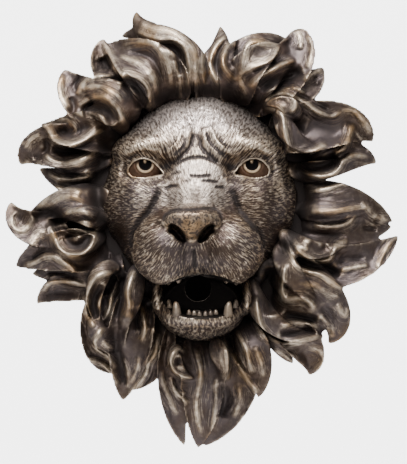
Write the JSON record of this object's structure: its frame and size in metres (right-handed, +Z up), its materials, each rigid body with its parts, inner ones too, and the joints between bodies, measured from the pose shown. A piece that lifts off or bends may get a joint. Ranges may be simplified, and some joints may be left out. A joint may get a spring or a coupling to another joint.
{
  "type": "lion head wall mask",
  "caption": "Bronze lion's head wall mask with an open mouth for a fountain's water, wavy mane locks all round, a hollow back and a flat face to fix it to a wall.",
  "frame": {"origin": "on the flat back, on the centre line, midway between the top of the hollow and the top of the mane's bed, where the mask is fixed to the wall", "axes": "+X to the right seen from the front, +Z up, +Y into the wall; the face looks along -Y"},
  "size_m": [0.5377, 0.2077, 0.598],
  "materials": {
    "bronze": "dark brown bronze patina, near black in the hollows, rubbed to pale gold on the raised edges, satin"
  },
  "bodies": {
    "root": {"lion_mask": "bronze"}
  },
  "joints": []
}
